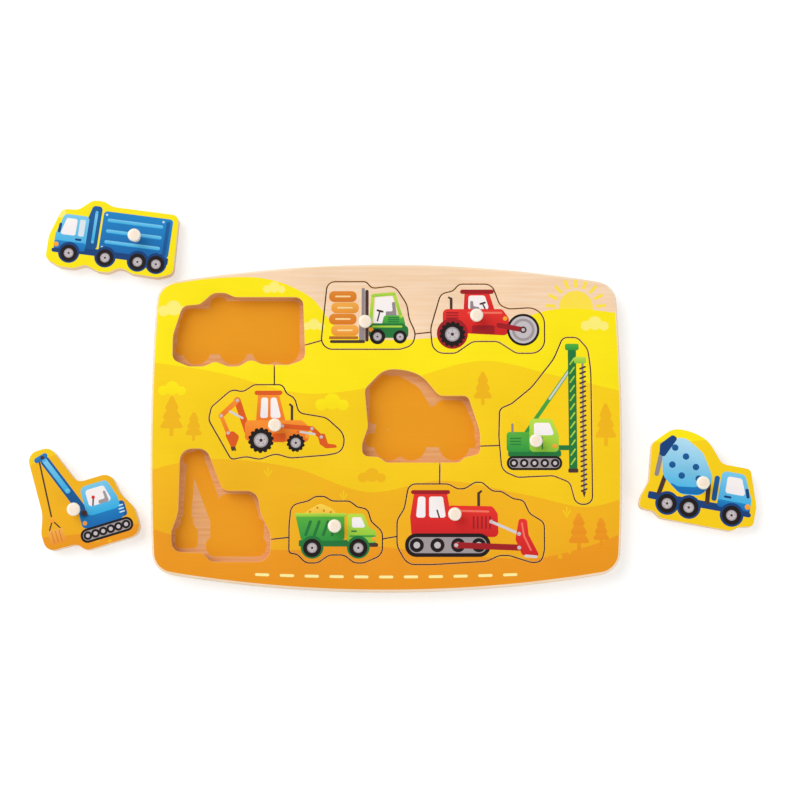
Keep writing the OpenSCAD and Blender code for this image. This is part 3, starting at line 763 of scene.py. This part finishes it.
def wall(plate, row, outer, steps, inked=0, sanded=0, slot=SLOT_WALL):
    """Faces from a row of points down to the wall beside it, by steps of (share of the way out, height). The
    first steps have the ink of the face above, the next ones are sanded bare, and the rest has the slot."""
    edge = [plate.points[i].xy for i in row]
    inks = [plate.edge_shapes.get(pair, NO_SHAPE) for pair in sides_of(row)]
    lengths = [0.0]
    for a, b in sides_of(outer):
        lengths.append(lengths[-1] + (b - a).length)
    along = [length / lengths[-1] for length in lengths]
    for step, (share, z) in enumerate(steps):
        below = plate.add_row([a.lerp(b, share) for a, b in zip(edge, outer)], z)
        down, up = 1 - (step + 1) / len(steps), 1 - step / len(steps)
        for i in range(len(row)):
            j = (i + 1) % len(row)
            corners = [row[i], below[i], below[j], row[j]]
            spots = [(along[i], up), (along[i], down), (along[i + 1], down), (along[i + 1], up)]
            bake = (plate.strips, spots)
            if step < inked:
                plate.add_inked(corners, inks[i], bake)
            else:
                plate.add_face(corners, SLOT_EDGE if step < inked + sanded else slot, bake=bake)
        row = below
    plate.strips += 1
    return row


def quarter_round(radius, steps, top):
    """Steps of a rounded edge, from the flat face out and down, as (share of the way out, height)."""
    turns = [math.pi / 2 * (i + 1) / steps for i in range(steps)]
    return [(math.sin(a), top - radius * (1 - math.cos(a))) for a in turns]


def flat_back(plate, rows):
    """The underside inside rows of points at the bottom."""
    rows = sorted(rows, key=lambda row: area([plate.points[i].xy for i in row]), reverse=True)
    places = [i for row in rows for i in row]
    _, kept, sources = cut([[plate.points[i].xy for i in row] for row in rows], [], LEAST_DISTANCE)
    for triangle, _ in kept:
        plate.add_face([places[sources[i][0]] for i in triangle[::-1]], SLOT_BACK)


def printed_sheet(name, walls, edge_radii, low, high, shapes, hole=None):
    """A sheet with a printed top, rounded edges, sawn walls and a bare back, and a blind hole for a peg."""
    plate = Plate(high, shapes)
    loops = [moved_right(edge, -r) for edge, r in zip(walls, edge_radii)]
    if hole:
        rim = ring(hole, HOLE_R, PEG_SIDES, -1)
        loops, walls = [*loops, rim], [*walls, rim]
    bottoms = []
    rows, sources = top_face(plate, loops)
    for row in rows:
        outer = wall_row(plate, row, sources, loops, walls)
        size = area(outer)
        if hole and abs(size) < HOLE_AREA:
            floor = wall(plate, row, outer, [(1, low + HOLE_FLOOR_T)])
            plate.add_face(floor[::-1], SLOT_BACK)
            continue
        radius = edge_radii[0] if size > 0 else edge_radii[-1]
        round_steps, inked = (RIM_STEPS, 0) if radius == RIM_R else (ROUND_STEPS, INKED_STEPS)
        steps = quarter_round(radius, round_steps, high)
        steps += [(1, low + GLUE_LINE_R), (1 - GLUE_LINE_R / radius, low)]
        # The outer walls take the plain plywood, and the cut-outs' walls take the copy with painted shade
        slot = SLOT_WALL if size > 0 else SLOT_SHADED_CUT
        bottoms.append(wall(plate, row, outer, steps, inked, round_steps - inked, slot))
    flat_back(plate, bottoms)
    return finished(name, plate)


def placed(name, data):
    """A new object of this data in the scene."""
    made = bpy.data.objects.new(name, data)
    bpy.context.scene.collection.objects.link(made)
    return made


def smooth_mesh(name, points, faces, slots, *materials):
    """A mesh of these faces, smooth over all but its sharp edges."""
    mesh = bpy.data.meshes.new(name)
    mesh.from_pydata(points, [], faces)
    mesh.polygons.foreach_set("material_index", slots)
    mesh.polygons.foreach_set("use_smooth", [True] * len(faces))
    mesh.set_sharp_from_angle(angle=SHARP_TURN)
    for material in materials:
        mesh.materials.append(material)
    return mesh


def finished(name, plate):
    """The object of a gathered sheet, with its ink colours and the sheet's own place of each point."""
    materials = (PRINT, BARE_WOOD, SANDED, PLY, BACK, SHADED_CUT_PLY)
    mesh = smooth_mesh(name, plate.points, plate.faces, plate.slots, *materials)
    ink = mesh.color_attributes.new(INK_ATTRIBUTE, "FLOAT_COLOR", "CORNER")
    flat = [value for colours in plate.colours for c in colours for value in (*c, 1)]
    ink.data.foreach_set("color", flat)
    bake = mesh.uv_layers.new(name=BAKE_MAP)
    bake.uv.foreach_set("vector", [value for place in plate.bake_map() for value in place])
    place = mesh.attributes.new(SHEET_ATTRIBUTE, "FLOAT_VECTOR", "POINT")
    place.data.foreach_set("vector", [value for p in plate.points for value in p])
    mesh.validate()
    return placed(name, mesh)


def turned_peg(name, middle, low, sheet_top, high, head_r):
    """A turned peg on a tenon, as a lathe makes it: a neck, a rounded head and a flat top."""
    profile = [(TENON_R, low), (TENON_R, sheet_top), (PEG_NECK_R, sheet_top)]
    rim_z = high - PEG_CROWN - PEG_RIM_R
    under = math.asin(min(1, max(-1, (PEG_NECK_R - head_r + PEG_RIM_R) / PEG_RIM_R)))
    for i in range(2 * RIM_STEPS + 1):
        a = -math.pi / 2 + under + (math.pi - under) * i / (2 * RIM_STEPS)
        profile.append((head_r - PEG_RIM_R + PEG_RIM_R * math.cos(a), rim_z + PEG_RIM_R * math.sin(a)))
    flat_r = head_r - PEG_RIM_R
    profile += [(flat_r * share, high - PEG_CROWN * share ** 2) for share in CROWN_SHARES]
    points = [(p.x, p.y, z) for r, z in profile for p in ring(middle.xy, r, PEG_SIDES)]
    faces, slots = [], []
    for step in range(len(profile) - 1):
        for i in range(PEG_SIDES):
            j = (i + 1) % PEG_SIDES
            a, b = step * PEG_SIDES, (step + 1) * PEG_SIDES
            faces.append((a + i, a + j, b + j, b + i))
            slots.append(SLOT_CROWN if profile[step + 1][0] < flat_r else SLOT_RIM)
    faces += [tuple(range(PEG_SIDES))[::-1], tuple(range(len(points) - PEG_SIDES, len(points)))]
    slots += [SLOT_RIM, SLOT_CROWN]
    return placed(name, smooth_mesh(name, points, faces, slots, PEG_SIDE_PAINTED_HIGHLIGHT, PEG_TOP))


# Materials. First, the part of a noise's range that is seen, and the pattern of each wood in noise per metre
NOISE_SEEN = (0.3, 0.7)
GRAIN_STRETCH = (26.0, 620.0, 620.0)
PORE_STRETCH = (90.0, 2600.0, 2600.0)
CLOUD_STRETCH = (14.0, 22.0, 22.0)
FINE_STRETCH = (900.0, 900.0, 900.0)
FIBRE_STRETCH = (1400.0, 1400.0, 120.0)
STREAK_STRETCH = (160.0, 160.0, 2400.0)
RING_STRETCH = Vector((1.0, 0.35, 0.2))
CLOUD_DETAIL = 2.0
GRAIN_DETAIL = 4.0
RELIEF_DEPTH = 0.0001

# How far each pattern takes a tone or a roughness, from low to high
PRINT_GRAIN, PRINT_CLOUD, PRINT_ROUGHNESS = (0.988, 1.006), (0.97, 1.02), (0.42, 0.54)
WOOD_CLOUD, ROUGHNESS_DOWN, ROUGHNESS_UP = (0.95, 1.03), 0.05, 0.07
WOOD_GRAIN_SEEN, PORES_SEEN = (0.32, 0.68), (0.60, 0.74)
PLY_ROUGHNESS, PEG_ROUGHNESS = (0.58, 0.75), (0.32, 0.44)
PLY_LAYERS = 5
PLY_LAYER_T = SHEET_T / PLY_LAYERS
GLUE_SEEN, GLUE_TONE = (0.02, 0.08), (0.55, 0.0)
HALF_LAYER = 0.5


class Graph:
    """The nodes of a material or of the room."""

    def __init__(self, owner):
        owner.use_nodes = True
        self.owner, self.nodes, self.links = owner, owner.node_tree.nodes, owner.node_tree.links

    def add(self, kind, settings=None, **inputs):
        node = self.nodes.new("ShaderNode" + kind)
        for key, value in (settings or {}).items():
            setattr(node, key, value)
        for key, value in inputs.items():
            self.put(node, key.replace("_", " "), value)
        return node

    def put(self, node, key, value):
        """Sets or links an input, by its name or by i and its number."""
        socket = node.inputs[int(key[1:])] if key[0] == "i" and key[1:].isdigit() else node.inputs[key]
        if isinstance(value, bpy.types.NodeSocket):
            self.links.new(value, socket)
        else:
            socket.default_value = value

    def attribute(self, name):
        return self.add("Attribute", {"attribute_name": name}).outputs

    def noise(self, vector, stretch, detail=3.0):
        place = self.add("Mapping", Vector=vector, Scale=stretch).outputs["Vector"]
        return self.add("TexNoise", Vector=place, Scale=1.0, Detail=detail).outputs["Fac"]

    def spread(self, value, to=(0.0, 1.0), part=NOISE_SEEN):
        (low, high), (to_low, to_high) = part, to
        node = self.add("MapRange", Value=value, From_Min=low, From_Max=high, To_Min=to_low, To_Max=to_high)
        return node.outputs["Result"]

    def maths(self, operation, a, b):
        return self.add("Math", {"operation": operation}, i0=a, i1=b).outputs[0]

    def mix(self, share, a, b):
        return self.add("Mix", {"data_type": "RGBA"}, i0=share, i6=a, i7=b).outputs[2]

    def tinted(self, colour, share):
        return self.add("VectorMath", {"operation": "SCALE"}, Vector=colour, Scale=share).outputs["Vector"]

    def surface(self, colour, roughness, shine, relief, strength, depth=RELIEF_DEPTH):
        """Puts the looks on the shader, and gives the material."""
        bump = self.add("Bump", Height=relief, Strength=strength, Distance=depth)
        for key, value in (("Base Color", colour), ("Roughness", roughness), ("Specular IOR Level", shine),
                           ("Normal", bump.outputs["Normal"])):
            self.put(self.nodes["Principled BSDF"], key, value)
        return self.owner


def rgba(hex_colour):
    return (*linear(hex_colour), 1)


def print_material():
    """Ink under a thin satin lacquer, with a little of the wood's grain showing through."""
    g = Graph(bpy.data.materials.new("printed_wood"))
    sheet = g.attribute(SHEET_ATTRIBUTE)["Vector"]
    grain = g.noise(sheet, GRAIN_STRETCH)
    cloud = g.noise(sheet, CLOUD_STRETCH, CLOUD_DETAIL)
    roughness = g.spread(g.noise(sheet, FINE_STRETCH), PRINT_ROUGHNESS)
    tone = g.maths("MULTIPLY", g.spread(grain, PRINT_GRAIN), g.spread(cloud, PRINT_CLOUD))
    colour = g.tinted(g.attribute(INK_ATTRIBUTE)["Color"], tone)
    return g.surface(colour, roughness, shine=0.15, relief=grain, strength=0.04)


def wood_material(name, light, dark, streak, roughness):
    """Bare sanded wood: broad pale streaks, fine grain and short dark pores along the sheet."""
    g = Graph(bpy.data.materials.new(name))
    sheet = g.attribute(SHEET_ATTRIBUTE)["Vector"]
    grain = g.noise(sheet, GRAIN_STRETCH, GRAIN_DETAIL)
    pores = g.noise(sheet, PORE_STRETCH, CLOUD_DETAIL)
    cloud = g.noise(sheet, CLOUD_STRETCH, CLOUD_DETAIL)
    base = g.mix(g.spread(grain, part=WOOD_GRAIN_SEEN), rgba(light), rgba(dark))
    base = g.mix(g.spread(pores, (0.0, streak), PORES_SEEN), base, rgba(dark))
    colour = g.tinted(base, g.spread(cloud, WOOD_CLOUD))
    rough = g.spread(grain, (roughness - ROUGHNESS_DOWN, roughness + ROUGHNESS_UP))
    return g.surface(colour, rough, shine=0.3, relief=grain, strength=0.18)


def ply_material(name, pale, deep, glue):
    """A sawn plywood edge: long and end grain in turn, with thin dark glue lines between the layers."""
    g = Graph(bpy.data.materials.new(name))
    sheet = g.attribute(SHEET_ATTRIBUTE)["Vector"]
    height = g.add("SeparateXYZ", Vector=sheet).outputs["Z"]
    layer = g.maths("DIVIDE", g.maths("SUBTRACT", height, SHEET_LOW), PLY_LAYER_T)
    odd = g.maths("GREATER_THAN", g.maths("FLOORED_MODULO", layer, 2.0), 1.0)
    from_line = g.maths("PINGPONG", layer, HALF_LAYER)
    fibres = g.noise(sheet, FIBRE_STRETCH)
    streaks = g.noise(sheet, STREAK_STRETCH)
    along = g.mix(g.spread(streaks), rgba(pale[0]), rgba(pale[1]))
    across = g.mix(g.spread(fibres), rgba(deep[0]), rgba(deep[1]))
    colour = g.mix(g.spread(from_line, GLUE_TONE, GLUE_SEEN), g.mix(odd, along, across), rgba(glue))
    return g.surface(colour, g.spread(fibres, PLY_ROUGHNESS), shine=0.25, relief=fibres, strength=0.25)


def peg_material(name, light, dark, ring_scale):
    """Turned pale hardwood, with its year rings faintly showing."""
    g = Graph(bpy.data.materials.new(name))
    place = g.add("TexCoord").outputs["Object"]
    rings = g.noise(place, ring_scale * RING_STRETCH)
    fine = g.noise(place, FINE_STRETCH)
    colour = g.mix(g.spread(rings), rgba(light), rgba(dark))
    return g.surface(colour, g.spread(fine, PEG_ROUGHNESS), shine=0.5, relief=fine, strength=0.08,
                     depth=RELIEF_DEPTH / 2)


PRINT = print_material()
BARE_WOOD = wood_material("bare_wood", "#FBDCBC", "#F7D0A8", 0.35, 0.45)
SANDED = wood_material("sanded_edge", "#FCE9CF", "#F6D9B4", 0.15, 0.55)
BACK = wood_material("bare_back", "#EEB278", "#E39D60", 0.5, 0.6)
PLY = ply_material("plywood_edge", ("#FBEAD0", "#F5DAB4"), ("#F3D6AE", "#E6BF8E"), "#BE8C5C")
# The cut-outs' walls: the plywood edge again, painted darker and more orange, as painted shade in the recesses
# and painted orange light thrown back from their floors
SHADED_CUT_PLY = ply_material("plywood_cut_painted_shade", ("#EFC083", "#E7AF6B"), ("#DFA35C", "#CF8C44"), "#A26A32")
# The peg's side and rounded rim are paler than its flat top: a painted highlight on the rim. The top's deeper
# cream is its end grain.
PEG_SIDE_PAINTED_HIGHLIGHT = peg_material("peg_rim_painted_highlight", "#FDF7EC", "#F9EEDD", 420.0)
PEG_TOP = peg_material("peg_top", "#FCEDDA", "#F8E2C8", 520.0)


# The pieces
def vehicle_frame(name):
    """A vehicle's outline as it was sawn from the sheet, and the move that puts it where it lies."""
    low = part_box(name)[0].z
    outline = softened(face_loops(name, low)[0])
    if name not in LOOSE:
        return outline, Matrix.Identity(4)
    degrees, seat_across, seat_up = LOOSE[name]
    angle = math.radians(degrees)
    turn = Matrix.Rotation(angle, 2)
    upright = [turn.inverted() @ p for p in outline]
    middle = sum(corners_of(upright), Vector((0, 0))) / 2
    seat = Vector((seat_across * BOARD_W, seat_up * BOARD_D))
    there = turn @ middle
    from_seat = Matrix.Rotation(angle, 4, "Z") @ Matrix.Translation((-seat.x, -seat.y, 0))
    move = Matrix.Translation((there.x, there.y, low - SHEET_LOW)) @ from_seat
    return [p - middle + seat for p in upright], move


board_print = Drawing(BOARD_LOW.xy, BOARD_HIGH.xy)
draw_board(board_print)
floor_shapes = []
for name, (draw, print_slot, peg_place) in VEHICLES.items():
    outline, move = vehicle_frame(name)
    drawing = Drawing(*corners_of(outline))
    draw(drawing)
    for _, shape in drawing.shapes:
        floor_shapes.append(("shade", [p + SHADE_SHIFT for p in moved_right(shape, SHADE_SPREAD)]))
    piece = printed_sheet(name + "_printed", [outline], [SAWN_EDGE_R], SHEET_LOW, SHEET_HIGH,
                          board_print.shapes + drawing.shapes, drawing.at(peg_place))
    piece.data.transform(move)
    peg_low, peg_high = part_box(name + "_peg")
    peg = turned_peg(name + "_turned_peg", (peg_low + peg_high) / 2, peg_low.z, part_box(name)[1].z, peg_high.z,
                     (peg_high.x - peg_low.x) / 2)
    for part, node, slot in ((piece, name, print_slot), (peg, name + "_peg", "peg_wood")):
        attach(part, name + "_piece")
        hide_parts(node)

frame_loops = [softened(loop) for loop in face_loops("top_plate", SHEET_LOW)]
board = printed_sheet("printed_board", frame_loops, [RIM_R] + [SAWN_EDGE_R] * (len(frame_loops) - 1),
                      SHEET_LOW, SHEET_HIGH, board_print.shapes)
base_loops = [softened(face_loops("base_plate", SHEET_LOW)[0])]
base = printed_sheet("base_sheet", base_loops, [GLUE_LINE_R], BOARD_LOW.z, SHEET_LOW, floor_shapes)
base.data.materials[SLOT_BARE] = BACK
for part, node, slot in ((board, "top_plate", "board_print"), (base, "base_plate", "base_ply")):
    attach(part, "board")
    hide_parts(node)


# Stage, light and camera. The floor's colour for the light that it sends back and for the eye, what is added
# for the eye near the puzzle and far from it, how far a back may lie off it, its reach and its depth
FLOOR_BOUNCE = (0.92, 0.92, 0.92, 1)
FLOOR_SEEN = (0.80, 0.80, 0.80, 1)
FLOOR_GLOW = 0.33
FAR_GLOW = 1.0
FLOOR_NEAR = 0.4
FLOOR_FAR = 0.9
FLOOR_TOUCH = 0.0004
FLOOR_REACH = 4.0
FLOOR_DROP = 0.0002


def stage_floor():
    """A white floor that keeps the shadows, clear from below and to the backs that lie just over it."""
    g = Graph(bpy.data.materials.new("white_floor"))
    shown = seen(g)
    paper = g.add("BsdfDiffuse", Color=g.mix(shown, FLOOR_BOUNCE, FLOOR_SEEN))
    place = g.add("TexCoord").outputs["Object"]
    distance = g.add("VectorMath", {"operation": "LENGTH"}, i0=place).outputs["Value"]
    level = g.spread(distance, (FLOOR_GLOW, FAR_GLOW), (FLOOR_NEAR, FLOOR_FAR))
    glow = g.add("Emission", Color=(*WHITE, 1), Strength=g.maths("MULTIPLY", shown, level))
    total = g.add("AddShader", i0=paper.outputs[0], i1=glow.outputs[0])
    from_below = g.add("NewGeometry").outputs["Backfacing"]
    touching = g.maths("LESS_THAN", g.add("LightPath").outputs["Ray Length"], FLOOR_TOUCH)
    clear = g.add("BsdfTransparent")
    sided = g.add("MixShader", i0=g.maths("MAXIMUM", from_below, touching), i1=total.outputs[0],
                  i2=clear.outputs[0])
    g.put(g.nodes["Material Output"], "Surface", sided.outputs[0])
    mesh = bpy.data.meshes.new("floor")
    ways = ((-1, -1), (1, -1), (1, 1), (-1, 1))
    mesh.from_pydata([(x * FLOOR_REACH, y * FLOOR_REACH, -FLOOR_DROP) for x, y in ways], [], [(0, 1, 2, 3)])
    mesh.materials.append(g.owner)
    floor = placed("floor", mesh)


def seen(g):
    """1 for rays from the camera, a reflection or glass, and 0 for the rays that light the object."""
    path = g.add("LightPath").outputs
    either = g.maths("MAXIMUM", path["Is Camera Ray"], path["Is Glossy Ray"])
    return g.maths("MAXIMUM", either, path["Is Transmission Ray"])


WORLD_LIGHT = 0.58
WORLD_SEEN = 1.0
KEY_POWER = 270.0
KEY_SIZE = 6.0
KEY_PLACE = Vector((-3.90, 2.90, 4.10))
FILL_POWER = 26.0
FILL_SIZE = 2.0
FILL_PLACE = Vector((2.20, -2.40, 1.30))


def light():
    """A plain white room, a broad soft lamp behind the puzzle on its left, and a weak one across from it."""
    world = bpy.data.worlds.new("room")
    bpy.context.scene.world = world
    g = Graph(world)
    to_camera = g.add("LightPath").outputs["Is Camera Ray"]
    g.put(g.nodes["Background"], "Color", (*WHITE, 1))
    g.put(g.nodes["Background"], "Strength", g.spread(to_camera, (WORLD_LIGHT, WORLD_SEEN), (0.0, 1.0)))
    lamps = (("key", KEY_POWER, KEY_SIZE, KEY_PLACE), ("fill", FILL_POWER, FILL_SIZE, FILL_PLACE))
    for name, power, size, place in lamps:
        data = bpy.data.lights.new(name, "AREA")
        data.energy = power
        data.size = size
        lamp = placed(name, data)
        lamp.location = place
        lamp.rotation_euler = place.to_track_quat("Z", "Y").to_euler()


# The photograph's view: how far the camera is tilted from straight down, the size of one of its pixels at
# the board's top, the pixels of the board's and the picture's middle, and the lens
TILT = math.radians(8)
PIXEL = 0.0006356
BOARD_PIXEL = (386.3, 426.2)
IMAGE_MIDDLE = 400
FOCAL_PIXELS = 1932.4


def camera():
    """The eye of the photograph, in line with the middle of the picture."""
    right = Vector((1, 0, 0))
    up = Vector((0, math.cos(TILT), math.sin(TILT)))
    back = Vector((0, -math.sin(TILT), math.cos(TILT)))
    across = (IMAGE_MIDDLE - BOARD_PIXEL[0]) * PIXEL
    rise = (BOARD_PIXEL[1] - IMAGE_MIDDLE) * PIXEL
    data = bpy.data.cameras.new("camera")
    data.sensor_fit = "HORIZONTAL"
    data.angle = 2 * math.atan(IMAGE_MIDDLE / FOCAL_PIXELS)
    eye = placed("camera", data)
    target = Vector((0, 0, SHEET_HIGH)) + across * right + rise * up
    eye.location = target + FOCAL_PIXELS * PIXEL * back
    eye.rotation_euler = (TILT, 0, 0)
    bpy.context.scene.camera = eye


stage_floor()
light()
camera()
bpy.context.scene.view_settings.view_transform = "Standard"
